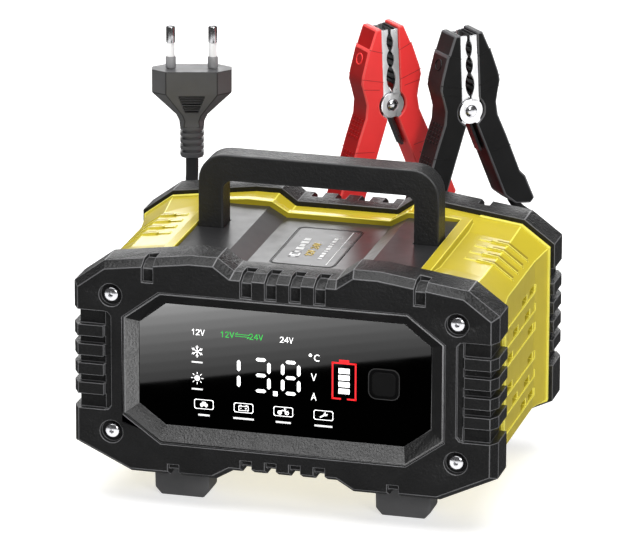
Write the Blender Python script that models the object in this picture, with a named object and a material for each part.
"""Portable car battery charger with mains plug lead and two battery clamps.

All lengths below are millimetres; UNIT turns them into Blender's metres.
The front faces -Y, +X is to the right, +Z is up and Z = 0 is under the feet.
"""
import math

import bmesh
import bpy
from mathutils import Matrix, Vector

for old in list(bpy.data.objects):
    bpy.data.objects.remove(old, do_unlink=True)

UNIT = 0.001
GAP = 0.3                     # clearance between touching pieces

# ---- driving dimensions -------------------------------------------------
WIDTH = 185.0                 # over both bumpers
DEPTH = 126.0                 # front face to rear face
BODY_Z = 14.0                 # underside of the bumpers above the floor
BUMPER_T = 19.5               # thickness of one bumper along Y
BEVEL_IN, BEVEL_DEEP = 2.7, 4.8
WALL_T = 6.0                  # bumper wall in front of the panel flange
SLOT_W, SLOT_CUT = 4.8, 2.0

FRONT_Y = -DEPTH / 2
REAR_Y = DEPTH / 2
SHELL_Y = DEPTH / 2 - BUMPER_T - GAP      # half length of the yellow shell
SHELL_IN, LIP_IN = 4.5, 2.2               # shell and its lips, inside the bumper outline
CAVITY_IN = 8.0
CAVITY_TOP = 87.3

SCREW_X, SCREW_TOP, SCREW_LOW = 75.2, 79.4, 18.4
SCREW_POCKET_R, SCREW_HEAD_R, SCREW_R = 5.0, 3.4, 1.6
POCKET_DEEP, SCREW_LENGTH = 2.6, 30.0

HANDLE_OUT, HANDLE_IN = 53.0, 42.0        # half widths of the handle
HANDLE_TOP, HANDLE_UNDER = 127.2, 115.5   # above the bumpers' underside
HANDLE_DEEP = 12.0
PAD_Z, DECK_Z = 94.4, 90.0                # raised pads and sunken middle of the top plate
PLATE_FRONT, PLATE_REAR = 0.2 - SHELL_Y, 29.0

BUTTON_X, BUTTON_Z, BUTTON_S = 43.4, 49.7, 13.0
FAN_X, FAN_Z, FAN_S = 22.0, 50.0, 50.0

CORD_D = 5.6                  # mains lead
LEAD_D = 4.2                  # each battery lead
CLAMP_YAW, CLAMP_TILT = 43.0, 2.6
PIVOTS = {"red": (5.1, 90.0, 141.2), "black": (40.6, 90.0, 141.2)}
PLUG_X, PLUG_Y, PLUG_YAW = -82.4, 86.0, 15.0
PLUG_TOP, PLUG_END = 151.0, 110.2         # face of the plug and end of its strain relief
HANK_U, HANK_W, HANK_H = 22.5, 25.2, 84.0  # battery-lead hank: place under its clamp, centre line
HANK_T = 4 * LEAD_D
COIL_X, COIL_R = -55.0, 31.0  # middle of the mains coil's turns
COIL_Y = (65.0, 65.0 + 3 * CORD_D)
LEAD_GLAND_Z = 42.3
GLANDS = {"mains": (-28.0, 82.0), "red": (7.0, LEAD_GLAND_Z), "black": (42.4, LEAD_GLAND_Z)}
STRAIN_END, LEAD_EXIT = 86.0, 63.5        # where the leads leave their strain reliefs


# ---- materials ----------------------------------------------------------
def material(name, colour, roughness, metallic=0.0):
    mat = bpy.data.materials.new(name)
    mat.use_nodes = True
    bsdf = mat.node_tree.nodes["Principled BSDF"]
    bsdf.inputs["Base Color"].default_value = (*colour, 1.0)
    bsdf.inputs["Roughness"].default_value = roughness
    bsdf.inputs["Metallic"].default_value = metallic
    return mat


BLACK = material("black_plastic", (0.018, 0.018, 0.019), 0.55)
YELLOW = material("yellow_plastic", (0.83, 0.62, 0.01), 0.35)
GREY = material("grey_plastic", (0.09, 0.09, 0.095), 0.5)
GLASS = material("black_window", (0.004, 0.004, 0.005), 0.06)
LABEL = material("label_film", (0.16, 0.16, 0.17), 0.4)
STEEL = material("bright_steel", (0.62, 0.62, 0.64), 0.28, 1.0)
SPRING = material("spring_steel", (0.12, 0.12, 0.13), 0.4, 1.0)
RED = material("red_plastic", (0.75, 0.02, 0.02), 0.35)
RUBBER = material("black_rubber", (0.015, 0.015, 0.015), 0.7)
ALU = material("aluminium", (0.55, 0.56, 0.58), 0.35, 1.0)
BOARD = material("circuit_board", (0.01, 0.11, 0.04), 0.5)
COPPER = material("copper_winding", (0.60, 0.22, 0.06), 0.4, 1.0)
FERRITE = material("ferrite", (0.03, 0.03, 0.035), 0.6)
BLUE = material("capacitor_sleeve", (0.01, 0.03, 0.16), 0.4)
LED = material("display_face", (0.03, 0.03, 0.03), 0.3)
RED_WIRE = material("red_wire", (0.60, 0.015, 0.015), 0.45)
BLACK_WIRE = material("black_wire", (0.012, 0.012, 0.012), 0.5)


# ---- mesh helpers -------------------------------------------------------
def finish_mesh(name, bm, mat, smooth_deg=30.0):
    """Turn a bmesh in millimetres into a named object in metres."""
    bmesh.ops.scale(bm, vec=(UNIT, UNIT, UNIT), verts=bm.verts)
    bmesh.ops.recalc_face_normals(bm, faces=bm.faces)
    mesh = bpy.data.meshes.new(name)
    bm.to_mesh(mesh)
    bm.free()
    obj = bpy.data.objects.new(name, mesh)
    bpy.context.scene.collection.objects.link(obj)
    mesh.materials.append(mat)
    mesh.shade_smooth()
    mesh.set_sharp_from_angle(angle=math.radians(smooth_deg))
    return obj


def loft(name, rings, mat, smooth_deg=30.0):
    """Closed solid through rings of points that all have the same count."""
    bm = bmesh.new()
    rows = [[bm.verts.new(p) for p in ring] for ring in rings]
    count = len(rows[0])
    bm.faces.new(rows[0])
    bm.faces.new(list(reversed(rows[-1])))
    for a, b in zip(rows, rows[1:]):
        for i in range(count):
            j = (i + 1) % count
            bm.faces.new((a[i], b[i], b[j], a[j]))
    return finish_mesh(name, bm, mat, smooth_deg)


def at_y(outline, y):
    return [(x, y, z) for x, z in outline]


def prism_y(name, outline, y0, y1, mat):
    """Extrude an XZ outline along Y."""
    return loft(name, [at_y(outline, y0), at_y(outline, y1)], mat)


def prism_x(name, outline, x0, x1, mat):
    """Extrude a YZ outline along X."""
    return loft(name, [[(x, y, z) for y, z in outline] for x in (x0, x1)], mat)


def prism_z(name, outline, z0, z1, mat):
    """Extrude an XY outline along Z."""
    return loft(name, [[(x, y, z) for x, y in outline] for z in (z0, z1)], mat)


def box(name, x0, x1, y0, y1, z0, z1, mat=BLACK):
    return prism_z(name, [(x0, y0), (x1, y0), (x1, y1), (x0, y1)], z0, z1, mat)


def turned(name, profile, mat, origin=(0, 0, 0), axis="Y", sides=32):
    """Revolve closed (radius, height) points about an axis; radius 0 closes an end."""
    bm = bmesh.new()
    rings = []
    for radius, height in profile:
        if radius < 1e-6:
            rings.append([bm.verts.new((0, 0, height))])
        else:
            rings.append([bm.verts.new((radius * math.cos(2 * math.pi * k / sides),
                                        radius * math.sin(2 * math.pi * k / sides), height))
                          for k in range(sides)])
    loop = rings if len(rings[0]) == 1 else rings + [rings[0]]
    for a, b in zip(loop, loop[1:]):
        for k in range(sides):
            j = (k + 1) % sides
            quad = [a[k % len(a)], b[k % len(b)], b[j % len(b)], a[j % len(a)]]
            corners = [v for i, v in enumerate(quad) if v not in quad[:i]]
            bm.faces.new(corners)
    turn = {"Y": Matrix.Rotation(-math.pi / 2, 4, "X"), "X": Matrix.Rotation(math.pi / 2, 4, "Y"),
            "Z": Matrix.Identity(4)}[axis]
    bmesh.ops.transform(bm, matrix=Matrix.Translation(origin) @ turn, verts=bm.verts)
    return finish_mesh(name, bm, mat, 40.0)


def rod(name, radius, y0, y1, x, z, mat=BLACK, sides=32):
    """Plain cylinder along Y."""
    return turned(name, [(0, y0), (radius, y0), (radius, y1), (0, y1)], mat, (x, 0, z), "Y", sides)


def combine(obj, tool, operation):
    """Boolean the tool into the object and drop the tool."""
    mod = obj.modifiers.new(operation, "BOOLEAN")
    mod.operation, mod.object, mod.solver = operation, tool, "EXACT"
    graph = bpy.context.evaluated_depsgraph_get()
    mesh = bpy.data.meshes.new_from_object(obj.evaluated_get(graph))
    obj.modifiers.remove(mod)
    obj.data = mesh
    bm = bmesh.new()
    bm.from_mesh(mesh)
    bmesh.ops.remove_doubles(bm, verts=bm.verts, dist=2e-6)
    bmesh.ops.dissolve_degenerate(bm, dist=1e-6, edges=bm.edges)
    bm.to_mesh(mesh)
    bm.free()
    mesh.shade_smooth()
    mesh.set_sharp_from_angle(angle=math.radians(30))
    bpy.data.objects.remove(tool, do_unlink=True)
    return obj


def cut(obj, *tools):
    for tool in tools:
        combine(obj, tool, "DIFFERENCE")
    return obj


def add(obj, *tools):
    for tool in tools:
        combine(obj, tool, "UNION")
    return obj


def merged(tools):
    """Join disjoint tool solids into one object, so that one boolean cuts them all."""
    bm = bmesh.new()
    for tool in tools:
        bm.from_mesh(tool.data)
        bpy.data.objects.remove(tool, do_unlink=True)
    bmesh.ops.scale(bm, vec=(1 / UNIT,) * 3, verts=bm.verts)
    return finish_mesh("tools", bm, BLACK)


def mirrored(outline):
    """Close a right-hand half outline (top to bottom) with its mirror image."""
    return outline + [(-x, z) for x, z in reversed(outline)]


def inset(outline, distance):
    """Move every edge of a clockwise outline inwards and meet the neighbours again."""
    points = [Vector(p) for p in outline]
    count = len(points)
    moved = []
    for i in range(count):
        a, b = points[i], points[(i + 1) % count]
        along = (b - a).normalized()
        inward = Vector((along.y, -along.x))
        moved.append((a + inward * distance, along))
    result = []
    for i in range(count):
        (p, u), (q, v) = moved[i - 1], moved[i]
        cross = u.x * v.y - u.y * v.x
        step = ((q - p).x * v.y - (q - p).y * v.x) / cross
        result.append(tuple(p + u * step))
    return result


def arc(cx, cz, radius, start_deg, end_deg, steps):
    return [(cx + radius * math.cos(math.radians(start_deg + (end_deg - start_deg) * k / steps)),
             cz + radius * math.sin(math.radians(start_deg + (end_deg - start_deg) * k / steps)))
            for k in range(steps + 1)]


def rounded_rect(cx, cz, width, height, radius, steps=4):
    w, h = width / 2 - radius, height / 2 - radius
    return (arc(cx + w, cz + h, radius, 90, 0, steps) + arc(cx + w, cz - h, radius, 0, -90, steps)
            + arc(cx - w, cz - h, radius, -90, -180, steps)
            + arc(cx - w, cz + h, radius, 180, 90, steps))


def lift(outline):
    """Outlines are drawn from the bumpers' underside; raise them by the feet."""
    return [(x, z + BODY_Z) for x, z in outline]


# ---- outlines shared by the bumpers, the shell and the panels --------------
BODY = mirrored([(22.2, 93.3), (29.5, 98.5), (41.0, 98.5), (79.0, 93.3), (92.5, 83.3),
                 (92.5, 11.7), (67.6, 0.0), (30.0, 0.0), (22.7, 4.3)])
WINDOW = mirrored([(54.0, 82.3), (70.2, 70.2), (70.2, 26.9), (53.5, 14.9)])
GLASS_EDGE = mirrored([(51.9, 77.0), (63.6, 67.8), (63.6, 31.4), (52.0, 22.8)])


def slot_tool(x, z_end, z_edge, z_outer, side):
    """Rib slot: down the face, over the bevel and back along the outer surface."""
    up = 1 if z_outer > z_end else -1
    profile = [(-1.0, z_end), (SLOT_CUT, z_end), (SLOT_CUT, z_edge - up * 1.0),
               (BEVEL_DEEP + 1.0, z_outer - up * SLOT_CUT), (11.0, z_outer - up * SLOT_CUT),
               (12.0, z_outer + up * 3.0), (-1.0, z_outer + up * 3.0)]
    yz = [(side * (REAR_Y - depth), z + BODY_Z) for depth, z in profile]
    return prism_x("slot", yz, x - SLOT_W / 2, x + SLOT_W / 2, BLACK)


def bumper(name, side):
    """One end frame; side is -1 at the front and +1 at the rear."""
    face, bevel, back = (side * (REAR_Y - d) for d in (0.0, BEVEL_DEEP, BUMPER_T))
    body = loft(name, [at_y(lift(inset(BODY, BEVEL_IN)), face), at_y(lift(BODY), bevel),
                       at_y(lift(BODY), back)], BLACK)
    wall = side * (REAR_Y - WALL_T)
    cut(body, prism_y("window", lift(WINDOW), face + side, wall - side, BLACK))
    cut(body, prism_y("cavity", lift(inset(WINDOW, -3.4)), wall, back - side, BLACK))
    # grip recesses with four ribs left standing at each side
    tools = []
    for sx in (-1, 1):
        x_in, x_side, x_out = sx * 78.0, sx * 89.4, sx * 95.0
        for z0, z1 in ((28.0, 34.4), (39.6, 43.0), (48.2, 51.6), (56.8, 60.2), (65.4, 72.0)):
            tools.append(prism_z("gap", [(x_in, face + side), (x_out, face + side),
                                         (x_out, back - side), (x_side, back - side),
                                         (x_side, side * (REAR_Y - 2.6)),
                                         (x_in, side * (REAR_Y - 2.6))],
                                 z0 + BODY_Z, z1 + BODY_Z, BLACK))
    cut(body, merged(tools))
    # shallow channel with rounded ends that joins the inner ends of the recesses
    channel = [(78.4, 28.3), (76.6, 28.3), (75.2, 30.0), (75.2, 70.0), (76.6, 71.7), (78.4, 71.7)]
    for sx in (-1, 1):
        cut(body, prism_y("channel", lift([(sx * x, z) for x, z in channel]), face + side,
                          side * (REAR_Y - 1.4), BLACK))
    tools = [slot_tool(x, 83.0, 90.3, 93.3, side) for x in (-16.0, -5.3, 5.3, 16.0)]
    tools += [slot_tool(x, 86.3, 93.0, 96.0, side) for x in (-59.0, 59.0)]
    tools += [slot_tool(x, 10.6, 7.2, 4.3, side) for x in (-16.0, -5.3, 5.3, 16.0)]
    tools += [slot_tool(x, 6.0, 2.7, 0.0, side) for x in (-48.0, 48.0)]
    cut(body, merged(tools))
    tools = []
    for sx in (-1, 1):
        for z in (SCREW_TOP, SCREW_LOW):
            floor = side * (REAR_Y - POCKET_DEEP)
            tools.append(turned("bore", [(0, face + side), (SCREW_POCKET_R, face + side),
                                         (SCREW_POCKET_R, floor), (SCREW_R + GAP, floor),
                                         (SCREW_R + GAP, back - side), (0, back - side)],
                                BLACK, (sx * SCREW_X, 0, z + BODY_Z), "Y", 24))
    return cut(body, merged(tools))


front_bumper = bumper("front_bumper", -1)
rear_bumper = bumper("rear_bumper", 1)

# ---- bumper screws ---------------------------------------------------------
for side, end in ((-1, "front"), (1, "rear")):
    for sx, hand in ((-1, "left"), (1, "right")):
        for z, level in ((SCREW_TOP, "top"), (SCREW_LOW, "bottom")):
            seat = REAR_Y - POCKET_DEEP + GAP
            head = [(0, 2.2), (1.9, 2.0), (2.9, 1.3), (SCREW_HEAD_R, 0.0), (SCREW_R, 0.0),
                    (SCREW_R, -SCREW_LENGTH), (0, -SCREW_LENGTH - 1.0)]
            profile = [(r, side * (seat + h)) for r, h in head]
            turned(f"screw_{end}_{level}_{hand}", profile, STEEL,
                   (sx * SCREW_X, 0, z + BODY_Z), "Y", 16)

# ---- yellow shell -----------------------------------------------------------
middle, lip = lift(inset(BODY, SHELL_IN)), lift(inset(BODY, LIP_IN))
case_shell = loft("case_shell", [at_y(lip, -SHELL_Y), at_y(lip, 3.0 - SHELL_Y), at_y(middle, -25.0),
                                 at_y(middle, 25.0), at_y(lip, SHELL_Y - 3.0), at_y(lip, SHELL_Y)],
                  YELLOW)
rim = mirrored([(22.6, 92.2), (30.0, 96.6), (41.0, 96.9), (58.5, 95.2), (58.5, 80.0)])
add(case_shell, prism_y("rim", lift(rim), -SHELL_Y, PLATE_REAR + 4.5, YELLOW))
pocket = mirrored([(24.0, 130.0), (53.0 + 1.0, 130.0), (54.0, 90.5), (33.2, 90.5), (23.6, 87.2)])
cut(case_shell, prism_y("pocket", lift(pocket), -SHELL_Y - 1.0, PLATE_REAR + 0.5, YELLOW))
cavity = [(x, min(z, CAVITY_TOP)) for x, z in inset(BODY, CAVITY_IN)]
cut(case_shell, prism_y("cavity", lift(cavity), -SHELL_Y - 1, SHELL_Y + 1, YELLOW))
bosses = []
for sx in (-1, 1):
    for z in (SCREW_TOP, SCREW_LOW):
        for side in (-1, 1):
            y0, y1 = sorted((side * SHELL_Y, side * (SHELL_Y - 13.0)))
            reach = 6 if z == SCREW_TOP else -6
            web = box("web", sx * SCREW_X - 4.2, sx * SCREW_X + 4.2, y0, y1,
                      *sorted((z + BODY_Z, z + BODY_Z + reach)), YELLOW)
            bosses.append(add(rod("post", 4.6, y0, y1, sx * SCREW_X, z + BODY_Z, YELLOW, 24), web))
for post in bosses:
    add(case_shell, post)
bores = [rod("bore", SCREW_R + GAP, side * (SHELL_Y - 14.5), side * (SHELL_Y + 2), sx * SCREW_X,
             z + BODY_Z, YELLOW, 24)
         for sx in (-1, 1) for z in (SCREW_TOP, SCREW_LOW) for side in (-1, 1)]
cut(case_shell, merged(bores))
# staggered air slots between the louvre lines at both sides
AIR_SLOTS = ((69.0, (2, 16)), (60.5, (-14, 8)), (52.0, (-24, 14)),
             (39.0, (-24, 14)), (30.5, (-14, 8)), (22.0, (2, 16)))
tools = [box("air", *sorted((sx * 80.0, sx * 95.0)), y, y + 9.0, z - 1.6 + BODY_Z, z + 1.6 + BODY_Z)
         for sx in (-1, 1) for z, starts in AIR_SLOTS for y in starts]
cut(case_shell, merged(tools))
for sx in (-1, 1):
    cut(case_shell, turned("hole", [(0, 80.0 + BODY_Z), (2.3, 80.0 + BODY_Z), (2.3, 92.0 + BODY_Z),
                                    (0, 92.0 + BODY_Z)], YELLOW, (sx * 47.5, 0, 0), "Z", 20))
# four gills over each top corner
for sx in (-1, 1):
    for y in (-8.5, 0.5, 9.5, 18.5):
        path = [(sx * 65.0, 89.6), (sx * 71.6, 88.6), (sx * 82.0, 81.2), (sx * 82.0, 79.6),
                (sx * 71.2, 86.6), (sx * 65.0, 87.6)]
        raised = [(x, z + 1.5) for x, z in path[:3]] + [(x, z) for x, z in path[3:]]
        add(case_shell, prism_y("gill", lift(raised), y, y + 2.6, YELLOW))

# ---- feet ---------------------------------------------------------------
for side, end in ((-1, "front"), (1, "rear")):
    for sx, hand in ((-1, "left"), (1, "right")):
        inner, outer = REAR_Y - 30.0, REAR_Y - 15.5
        top, step = BODY_Z - GAP, BODY_Z + LIP_IN - GAP
        yz = [(side * outer, top), (side * (outer - 1.0), 0.0), (side * (inner + 2.0), 0.0),
              (side * inner, step), (side * (SHELL_Y - 0.2), step), (side * (SHELL_Y - 0.2), top)]
        x0, x1 = sx * 48.7 - 12.0, sx * 48.7 + 12.0
        foot = prism_x(f"foot_{end}_{hand}", yz, x0, x1, RUBBER)
        for x_edge, inward in ((x0, 1), (x1, -1)):
            corner = [(x_edge - inward, -1.0), (x_edge + inward * 3.6, -1.0),
                      (x_edge - inward, 4.4)]
            cut(foot, prism_y("corner", corner, side * (inner - 5), side * (outer + 5), RUBBER))

# ---- top plate, label and carrying handle ---------------------------------
plate = mirrored([(23.3, DECK_Z), (31.0, PAD_Z), (53.6, PAD_Z), (53.6, 90.8), (33.0, 90.8),
                  (23.5, 87.5)])
top_plate = prism_y("top_plate", lift(plate), PLATE_FRONT, PLATE_REAR, GREY)
LABEL_X, LABEL_Y0, LABEL_Y1 = 14.5, -34.0, 18.5
cut(top_plate, prism_z("label_seat", [(x, y + (LABEL_Y0 + LABEL_Y1) / 2) for x, y in
                                      rounded_rect(0, 0, 2 * LABEL_X, LABEL_Y1 - LABEL_Y0, 3.0)],
                       BODY_Z + DECK_Z - 0.8, BODY_Z + DECK_Z + 5, GREY))
LEG_X = (HANDLE_OUT + HANDLE_IN) / 2
LEG_W = HANDLE_OUT - HANDLE_IN
for sx in (-1, 1):
    cut(top_plate, box("leg_hole", sx * LEG_X - LEG_W / 2 - GAP, sx * LEG_X + LEG_W / 2 + GAP,
                       -HANDLE_DEEP / 2 - GAP, HANDLE_DEEP / 2 + GAP, BODY_Z + 85, BODY_Z + 98))
label_plate = prism_z("label_plate", [(x, y + (LABEL_Y0 + LABEL_Y1) / 2) for x, y in
                                      rounded_rect(0, 0, 2 * (LABEL_X - GAP),
                                                   LABEL_Y1 - LABEL_Y0 - 2 * GAP, 2.7)],
                      BODY_Z + DECK_Z - 0.5, BODY_Z + DECK_Z + 0.1, LABEL)

LEG_FOOT = 90.5 + GAP
half_top = ([(HANDLE_OUT, LEG_FOOT)] + arc(HANDLE_OUT - 12, HANDLE_TOP - 12, 12, 0, 90, 8))
half_in = arc(HANDLE_IN - 4, HANDLE_UNDER - 4, 4, 90, 0, 5) + [(HANDLE_IN, LEG_FOOT)]
u_shape = half_top + [(-x, z) for x, z in reversed(half_top)]
u_shape += [(-x, z) for x, z in reversed(half_in)] + half_in
handle = prism_y("handle", lift(u_shape), -HANDLE_DEEP / 2, HANDLE_DEEP / 2, BLACK)
for sx in (-1, 1):
    cut(handle, turned("thread", [(0, BODY_Z + 85), (1.9, BODY_Z + 85), (1.9, BODY_Z + 104),
                                  (0, BODY_Z + 104)], BLACK, (sx * LEG_X, 0, 0), "Z", 16))
    hand = "left" if sx < 0 else "right"
    turned(f"handle_screw_{hand}", [(0, BODY_Z + 84.0), (3.6, BODY_Z + 84.0), (3.6, BODY_Z + 86.3),
                                    (1.6, BODY_Z + 86.3), (1.6, BODY_Z + 102.5),
                                    (0, BODY_Z + 103.0)], STEEL, (sx * LEG_X, 0, 0), "Z", 16)

# ---- front panel, window, display and mode button ----------------------------
PANEL_FACE = FRONT_Y + 0.3
GLASS_FACE = FRONT_Y + 3.5
PANEL_BACK = FRONT_Y + WALL_T + 2.3


def panel_blank(name, side, mat):
    """Octagonal plate that fills a bumper window, with a flange behind the bumper wall."""
    face, flange, back = (side * (REAR_Y - d) for d in (0.3, WALL_T + GAP, WALL_T + 2.3))
    blank = prism_y(name, lift(inset(WINDOW, GAP)), face, flange, mat)
    return add(blank, prism_y("flange", lift(inset(WINDOW, -3.0)), flange + side * 0.001, back, mat))


def button_square(size, radius):
    return lift(rounded_rect(BUTTON_X, BUTTON_Z, size, size, radius))


front_panel = panel_blank("front_panel", -1, BLACK)
cut(front_panel, loft("slope", [at_y(lift(inset(WINDOW, 0.0)), PANEL_FACE - 0.6),
                                at_y(lift(GLASS_EDGE), GLASS_FACE)], BLACK))
cut(front_panel, prism_y("glass_seat", lift(inset(GLASS_EDGE, -GAP)), GLASS_FACE - 0.02,
                         GLASS_FACE + 2.3, BLACK))
DISPLAY = [(34.0, 70.0), (34.0, 24.5), (-42.0, 24.5), (-42.0, 70.0)]
cut(front_panel, prism_y("display_hole", lift(DISPLAY), GLASS_FACE, PANEL_BACK + 2, BLACK))
cut(front_panel, prism_y("button_hole", button_square(BUTTON_S + 2 * GAP, 3.5), GLASS_FACE,
                         PANEL_BACK + 2, BLACK))
display_window = prism_y("display_window", lift(GLASS_EDGE), GLASS_FACE, GLASS_FACE + 2.0, GLASS)
cut(display_window, prism_y("button_hole", button_square(BUTTON_S + 2 * GAP, 3.5), GLASS_FACE - 1,
                            GLASS_FACE + 3, BLACK))
BOARD_Y = PANEL_BACK + 4.7
display_module = prism_y("display_module", lift(inset(DISPLAY, GAP)), GLASS_FACE + 2.3,
                         BOARD_Y - GAP, LED)
display_board = box("display_board", -60.0, 60.0, BOARD_Y, BOARD_Y + 1.6, BODY_Z + 25, BODY_Z + 75,
                    BOARD)
mode_button = prism_y("mode_button", button_square(BUTTON_S, 3.2), GLASS_FACE - 1.0,
                      PANEL_BACK + GAP, BLACK)
add(mode_button, prism_y("keeper", button_square(BUTTON_S + 3.0, 3.0), PANEL_BACK + GAP - 0.001,
                         PANEL_BACK + GAP + 1.0, BLACK))
SWITCH_FACE = PANEL_BACK + GAP + 2.0
add(display_board, prism_y("tact_switch", lift(rounded_rect(BUTTON_X, BUTTON_Z, 6, 6, 0.8, 2)),
                           SWITCH_FACE, BOARD_Y + 0.5, BOARD))

# ---- rear panel with grille, glands and fan ------------------------------------
rear_panel = panel_blank("rear_panel", 1, BLACK)
cut(rear_panel, loft("slope", [at_y(lift(inset(WINDOW, 0.0)), REAR_Y + 0.3),
                               at_y(lift(GLASS_EDGE), REAR_Y - 3.5)], BLACK))
tools = [box("bar", FAN_X - w, FAN_X + w, REAR_Y - 12, REAR_Y, BODY_Z + FAN_Z + dz - 1.5,
             BODY_Z + FAN_Z + dz + 1.5)
         for dz, w in ((-11.7, 18), (-5.9, 21), (0, 22), (5.9, 21), (11.7, 18), (17.5, 12))]
for name, (x, z) in GLANDS.items():
    radius = 6.0 if name == "mains" else 3.6
    tools.append(rod("gland_hole", radius + GAP, REAR_Y - 12, REAR_Y, x, z))
cut(rear_panel, merged(tools))

PANEL_OUT, PANEL_IN = REAR_Y - 3.5, REAR_Y - WALL_T - 2.3
turned("mains_gland", [(0, PANEL_IN - 2.3), (8.0, PANEL_IN - 2.3), (8.0, PANEL_IN - GAP),
                       (6.0, PANEL_IN - GAP), (6.0, PANEL_OUT + GAP), (8.5, PANEL_OUT + GAP),
                       (8.0, PANEL_OUT + 2.2), (5.4, PANEL_OUT + 3.0), (3.9, STRAIN_END),
                       (0, STRAIN_END)], RUBBER, (GLANDS["mains"][0], 0, GLANDS["mains"][1]),
       "Y", 24)
for name in ("red", "black"):
    x, z = GLANDS[name]
    turned(f"{name}_gland", [(0, PANEL_IN - 2.3), (5.2, PANEL_IN - 2.3), (5.2, PANEL_IN - GAP),
                             (3.6, PANEL_IN - GAP), (3.6, PANEL_OUT + GAP), (5.2, PANEL_OUT + GAP),
                             (4.8, PANEL_OUT + 1.6), (3.2, PANEL_OUT + 2.0), (2.9, LEAD_EXIT),
                             (0, LEAD_EXIT)], RUBBER, (x, 0, z), "Y", 20)

FAN_BACK = PANEL_IN - 2.3 - GAP
fan_frame = box("fan_frame", FAN_X - FAN_S / 2, FAN_X + FAN_S / 2, FAN_BACK - 15, FAN_BACK,
                BODY_Z + FAN_Z - FAN_S / 2, BODY_Z + FAN_Z + FAN_S / 2, BLACK)
cut(fan_frame, rod("throat", 23.5, FAN_BACK - 16, FAN_BACK + 1, FAN_X, BODY_Z + FAN_Z, BLACK, 48))
spider = rod("hub", 10.0, FAN_BACK - 2.4, FAN_BACK - 0.2, FAN_X, BODY_Z + FAN_Z)
for angle in (90, 210, 330):
    arm = box("arm", 0, 24.2, FAN_BACK - 2.2, FAN_BACK - 0.4, -1.6, 1.6)
    arm.data.transform(Matrix.Translation((FAN_X * UNIT, 0, (BODY_Z + FAN_Z) * UNIT))
                       @ Matrix.Rotation(math.radians(angle), 4, "Y"))
    add(spider, arm)
add(fan_frame, spider)

fan_rotor = rod("fan_rotor", 9.5, FAN_BACK - 13.2, FAN_BACK - 2.8, 0, 0, BLACK, 28)
for k in range(7):
    rings = []
    for radius, lean in ((8.8, 3.2), (22.4, 5.2)):
        y0, y1 = FAN_BACK - 12.2, FAN_BACK - 4.4
        rings.append([(radius, y0, -lean), (radius, y0, 1.4 - lean),
                      (radius, y1, lean + 1.4), (radius, y1, lean)])
    blade = loft("blade", rings, BLACK)
    blade.data.transform(Matrix.Rotation(2 * math.pi * k / 7, 4, "Y"))
    add(fan_rotor, blade)
fan_rotor.location = (FAN_X * UNIT, 0, (BODY_Z + FAN_Z) * UNIT)

# ---- electronics --------------------------------------------------------------
BOARD_Z = BODY_Z + 19.6
for x in (-54, 54):
    for y in (-33, 29):
        add(case_shell, turned("post", [(0, BODY_Z + 6), (3, BODY_Z + 6), (3, BOARD_Z - GAP),
                                        (0, BOARD_Z - GAP)], YELLOW, (x, y, 0), "Z", 12))
main_board = box("main_board", -64, 64, -39, 34, BOARD_Z, BOARD_Z + 1.6, BOARD)
TOP = BOARD_Z + 1.6 + GAP
transformer = box("transformer", -48, -14, -13, 3, TOP, TOP + 29, FERRITE)
add(transformer, prism_z("winding", [(x - 31, y - 5) for x, y in rounded_rect(0, 0, 24, 28, 6)],
                         TOP + 4, TOP + 25, FERRITE))
turned("bulk_capacitor", [(0, TOP), (9, TOP), (9, TOP + 3), (8.6, TOP + 3.8), (9, TOP + 4.6),
                          (9, TOP + 29), (8.2, TOP + 30), (0, TOP + 30)], BLUE, (6, -20, 0), "Z", 28)
turned("filter_choke", [(4.5, TOP + 1), (6, TOP), (10, TOP), (11.5, TOP + 1.5), (11.5, TOP + 9),
                        (10, TOP + 10.5), (6, TOP + 10.5), (4.5, TOP + 9.5)], COPPER,
       (36, -20, 0), "Z", 28)
comb = [(53, TOP), (53, TOP + 36)]
for k in range(4):
    z = TOP + 36 - 7.5 * k
    comb += [(64, z), (64, z - 1.6), (56, z - 1.6), (56, z - 7.5)]
comb += [(64, TOP + 6), (64, TOP)]
prism_y("heat_sink", comb, -22, 22, ALU)

# ---- mains plug and its lead -----------------------------------------------------
PLUG_TURN = (Matrix.Translation((PLUG_X * UNIT, PLUG_Y * UNIT, 0))
             @ Matrix.Rotation(math.radians(PLUG_YAW), 4, "Z"))


def plug_ring(width, depth, radius, z):
    return [(x, y, z) for x, y in rounded_rect(0, 0, width, depth, radius, 4)]


plug_body = loft("plug_body", [plug_ring(8.0, 7.0, 3.2, PLUG_END + GAP),
                               plug_ring(10.6, 8.4, 3.6, PLUG_TOP - 27.0),
                               plug_ring(13.0, 10.0, 3.8, PLUG_TOP - 22.0),
                               plug_ring(35.0, 13.4, 4.0, PLUG_TOP - 12.0),
                               plug_ring(35.3, 13.8, 4.0, PLUG_TOP - 1.2),
                               plug_ring(33.6, 12.2, 3.4, PLUG_TOP)], BLACK)
plug_body.data.transform(PLUG_TURN)
for sx, hand in ((-1, "left"), (1, "right")):
    foot = PLUG_TOP + GAP
    pin = turned(f"plug_pin_{hand}", [(0, foot), (2.0, foot), (2.0, foot + 17.6), (1.5, foot + 18.7),
                                      (0, foot + 19.0)], STEEL, (sx * 9.3, 0, 0), "Z", 20)
    pin.data.transform(PLUG_TURN)


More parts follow.
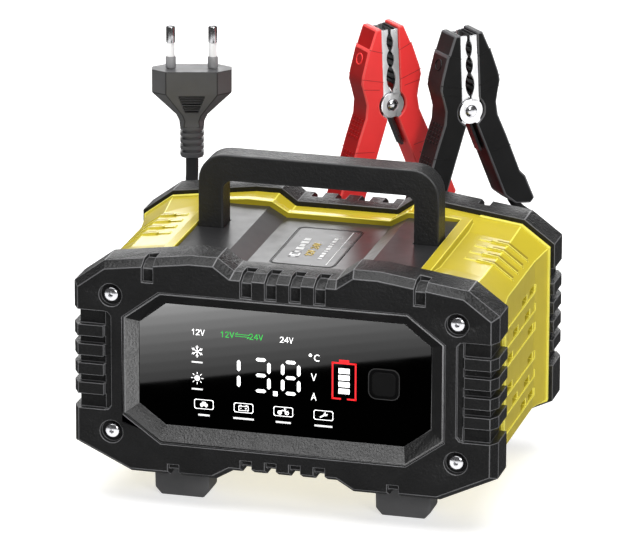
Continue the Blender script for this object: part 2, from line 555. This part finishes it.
def smooth_route(points, spacing):
    """Even points, one every `spacing`, read from a Catmull-Rom curve through the route."""
    p = [Vector(q) for q in points]
    p = [p[0] * 2 - p[1]] + p + [p[-1] * 2 - p[-2]]
    fine = []
    for a, b, c, d in zip(p, p[1:], p[2:], p[3:]):
        for k in range(24):
            t = k / 24
            fine.append(0.5 * (2 * b + (c - a) * t + (2 * a - 5 * b + 4 * c - d) * t * t
                               + (3 * b - a - 3 * c + d) * t ** 3))
    fine.append(p[-2])
    total = sum((b - a).length for a, b in zip(fine, fine[1:]))
    count = max(2, round(total / spacing))
    result, walked, want = [fine[0]], 0.0, total / count
    for a, b in zip(fine, fine[1:]):
        step = (b - a).length
        while step > 0 and walked + step >= want - 1e-9 and len(result) < count:
            result.append(a.lerp(b, (want - walked) / step))
            want += total / count
        walked += step
    result.append(fine[-1])
    return result


def tube(name, route, diameter, mat):
    curve = bpy.data.curves.new(name, "CURVE")
    curve.dimensions = "3D"
    curve.bevel_depth = diameter / 2 * UNIT
    curve.bevel_resolution = 2
    curve.use_fill_caps = True
    points = smooth_route(route, 2.4 * diameter)
    stub = diameter * 0.5     # short square ends, so that each cap faces its neighbour
    first, last = Vector(route[0]), Vector(route[-1])
    points.insert(1, first + (Vector(route[1]) - first).normalized() * stub)
    points.insert(-1, last + (Vector(route[-2]) - last).normalized() * stub)
    spline = curve.splines.new("POLY")
    spline.points.add(len(points) - 1)
    for slot, p in zip(spline.points, points):
        slot.co = (*(p * UNIT), 1.0)
    curve.materials.append(mat)
    obj = bpy.data.objects.new(name, curve)
    bpy.context.scene.collection.objects.link(obj)
    return obj


gx, gz = GLANDS["mains"]
MAINS_START = [(gx, STRAIN_END + GAP, gz), (gx, 92, gz - 0.3), (gx - 0.3, 101, gz - 4.4),
               (gx - 0.8, 107, gz - 14), (gx - 1.4, 109, 52), (gx - 2.4, 108, 36),
               (gx - 4, 105.5, 21), (gx - 8, 101, 9.3), (gx - 15, 95, 3.6), (gx - 23, 89, 2.9),
               (gx - 32, 85.0, 2.85)]
MAINS_END = [(-86.4, 84.9, 44), (-86.0, 84.9, 58), (-84.4, 85.2, 76), (-82.9, 85.8, 94),
             (PLUG_X, PLUG_Y, 102), (PLUG_X, PLUG_Y, PLUG_END)]
tube("mains_lead_start", MAINS_START, CORD_D, RUBBER)
tube("mains_lead_end", MAINS_END, CORD_D, RUBBER)
COIL_OUT = COIL_R + CORD_D
turned("mains_lead_coil", [(COIL_R - CORD_D, COIL_Y[0]), (COIL_OUT, COIL_Y[0]),
                           (COIL_OUT, COIL_Y[1]), (COIL_R - CORD_D, COIL_Y[1])], RUBBER,
       (COIL_X, 0, COIL_OUT), "Y", 40)

# ---- battery clamps and their leads --------------------------------------------
HALF_HANDLE = ([(4.0, 35.4), (6.8, 35.4), (10.1, 27.2), (10.8, 26.6), (14.3, 15.4), (14.9, 12.0),
                (13.7, 7.0), (12.7, 2.0), (13.4, -3.9), (17.2, -13.5), (23.6, -31.6),
                (26.4, -34.7), (30.6, -45.6), (28.4, -47.8), (21.0, -46.6), (15.6, -42.0),
                (2.7, -7.0)] + arc(0, 0, 6.4, -66, 50, 8))
HALF_T, FIXED_T, MOVING_T, SHEET_T = 6.4, 6.2, 5.1, 0.8


def clamp_jaw(name, hand, half_width):
    """Folded steel jaw: a U channel whose cheeks carry a ring round the rivet."""
    inner = half_width - SHEET_T
    x = sorted((hand * 0.5, hand * 3.7))
    jaw = box(name, *x, -half_width, half_width, 2.0, 34.4, STEEL)
    cut(jaw, box("trough", *sorted((hand * -0.5, hand * 2.9)), -inner, inner, 0.0, 37.0))
    cut(jaw, box("spring_room", *sorted((hand * -0.5, hand * 5.0)), -inner, inner, 0.0, 7.6))
    for y0, y1 in ((-half_width, -inner), (inner, half_width)):
        add(jaw, rod("ring", 5.7, y0, y1, 0, 0, STEEL, 28))
    return cut(jaw, rod("bore", 2.7, -8, 8, 0, 0, STEEL, 24))


def spring_leg(hand):
    strip = [(3.1, -3.2), (2.2, -7.1), (6.9, -20.1), (5.8, -20.5), (1.1, -7.6), (1.1, -4.4)]
    return prism_y("leg", [(hand * x, z) for x, z in strip], -2.5, 2.5, SPRING)


def clamp(colour, plastic, wire):
    """Both halves in the clamp's own frame (pivot at the origin), then set in place."""
    pieces = []
    for hand, role, half_width in ((1, "fixed", FIXED_T), (-1, "moving", MOVING_T)):
        outline = [(hand * x, z) for x, z in HALF_HANDLE]
        pieces.append(prism_y(f"{colour}_clamp_{role}_handle", outline, -HALF_T, HALF_T, plastic))
        pieces.append(clamp_jaw(f"{colour}_clamp_{role}_jaw", hand, half_width))
    pieces.append(turned(f"{colour}_clamp_rivet",
                         [(1.5, -7.1), (3.4, -7.1), (3.4, -6.5), (2.4, -6.5), (2.4, 6.5), (3.4, 6.5),
                          (3.4, 7.1), (1.5, 7.1)], STEEL, (0, 0, 0), "Y", 24))
    spring = turned(f"{colour}_clamp_spring", [(3.0, -3.6), (5.0, -3.6), (5.0, 3.6), (3.0, 3.6)],
                    SPRING, (0, 0, 0), "Y", 28)
    pieces.append(add(spring, spring_leg(1), spring_leg(-1)))
    px, py, pz = PIVOTS[colour]
    place = (Matrix.Translation((px * UNIT, py * UNIT, pz * UNIT))
             @ Matrix.Rotation(math.radians(CLAMP_YAW), 4, "Z")
             @ Matrix.Rotation(math.radians(-CLAMP_TILT), 4, "Y"))
    for piece in pieces:
        piece.matrix_world = place

    yaw = math.radians(CLAMP_YAW)

    def world(u, n, z):
        return (px + u * math.cos(yaw) + n * math.sin(yaw),
                py + u * math.sin(yaw) - n * math.cos(yaw), z)

    gland_x = GLANDS[colour][0]
    start = [(gland_x, LEAD_EXIT + GAP, LEAD_GLAND_Z), (gland_x, LEAD_EXIT + 4.0, LEAD_GLAND_Z)]
    start += [world(*p) for p in ((-12.6, 12.9, 38.4), (-11.2, 11.8, 25.0), (-9.6, 11.2, 11.4),
                                  (-4.4, 11.0, 4.2), (3.0, 10.9, 2.25), (12.0, 10.85, 2.15),
                                  (22.0, 10.8, 2.15))]
    finish = [(39.7, 0, 60), (39.7, 0, 70), (39.0, 0, 78), (36.4, 0, 84.4), (32.2, 0, 88.6),
              (28.2, 0, 90.6), (26.6, 0, 93.1)]
    tube(f"{colour}_lead_start", start, LEAD_D, wire)
    tube(f"{colour}_lead_end", [world(*p) for p in finish], LEAD_D, wire)
    outer, inner = LEAD_D / 2, -LEAD_D / 2
    rings = [rounded_rect(HANK_U, (HANK_H + LEAD_D) / 2, HANK_W + 2 * grow, HANK_H + 2 * grow,
                          HANK_W / 2 + grow - 0.01, 6) for grow in (outer, inner)]
    hank = prism_y(f"{colour}_lead_hank", rings[0], -HANK_T / 2, HANK_T / 2, wire)
    cut(hank, prism_y("hole", rings[1], -HANK_T, HANK_T, wire))
    hank.data.transform(Matrix.Translation((px * UNIT, py * UNIT, 0))
                        @ Matrix.Rotation(yaw, 4, "Z"))


clamp("red", RED, RED_WIRE)
clamp("black", BLACK, BLACK_WIRE)
